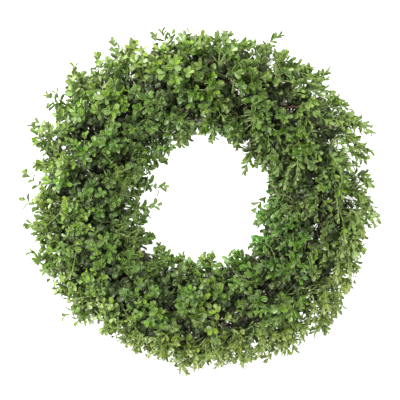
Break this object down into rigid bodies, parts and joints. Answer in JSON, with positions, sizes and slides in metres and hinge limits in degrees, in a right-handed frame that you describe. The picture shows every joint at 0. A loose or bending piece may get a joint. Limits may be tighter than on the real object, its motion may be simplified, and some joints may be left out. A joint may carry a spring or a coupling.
{
  "type": "boxwood wreath",
  "caption": "Round wreath of dense boxwood bunches on a welded wire frame, with an open middle, lying on its back.",
  "frame": {"origin": "on the surface that the wreath lies on, under the middle of its outline", "axes": "+Z out of the wreath's front, away from the wall or table behind it; +Y to its top as hung; +X to its right seen from the front"},
  "size_m": [0.5692, 0.5468, 0.119],
  "materials": {
    "boxwood_leaf": "leathery evergreen leaves, half glossy above and duller below",
    "woody_stem": "thin brown bark, rough",
    "frame_wire": "steel with dark green paint"
  },
  "bodies": {
    "root": {"wire_frame": "frame_wire", "stems_01": "woody_stem", "stems_02": "woody_stem", "stems_03": "woody_stem", "stems_04": "woody_stem", "stems_05": "woody_stem", "stems_06": "woody_stem", "stems_07": "woody_stem", "stems_08": "woody_stem", "stems_09": "woody_stem", "stems_10": "woody_stem", "stems_11": "woody_stem", "stems_12": "woody_stem", "stems_13": "woody_stem", "stems_14": "woody_stem", "stems_15": "woody_stem", "stems_16": "woody_stem", "stems_17": "woody_stem", "stems_18": "woody_stem", "leaves_01": "boxwood_leaf", "leaves_02": "boxwood_leaf", "leaves_03": "boxwood_leaf", "leaves_04": "boxwood_leaf", "leaves_05": "boxwood_leaf", "leaves_06": "boxwood_leaf", "leaves_07": "boxwood_leaf", "leaves_08": "boxwood_leaf", "leaves_09": "boxwood_leaf", "leaves_10": "boxwood_leaf", "leaves_11": "boxwood_leaf", "leaves_12": "boxwood_leaf", "leaves_13": "boxwood_leaf", "leaves_14": "boxwood_leaf", "leaves_15": "boxwood_leaf", "leaves_16": "boxwood_leaf", "leaves_17": "boxwood_leaf", "leaves_18": "boxwood_leaf"}
  },
  "joints": []
}
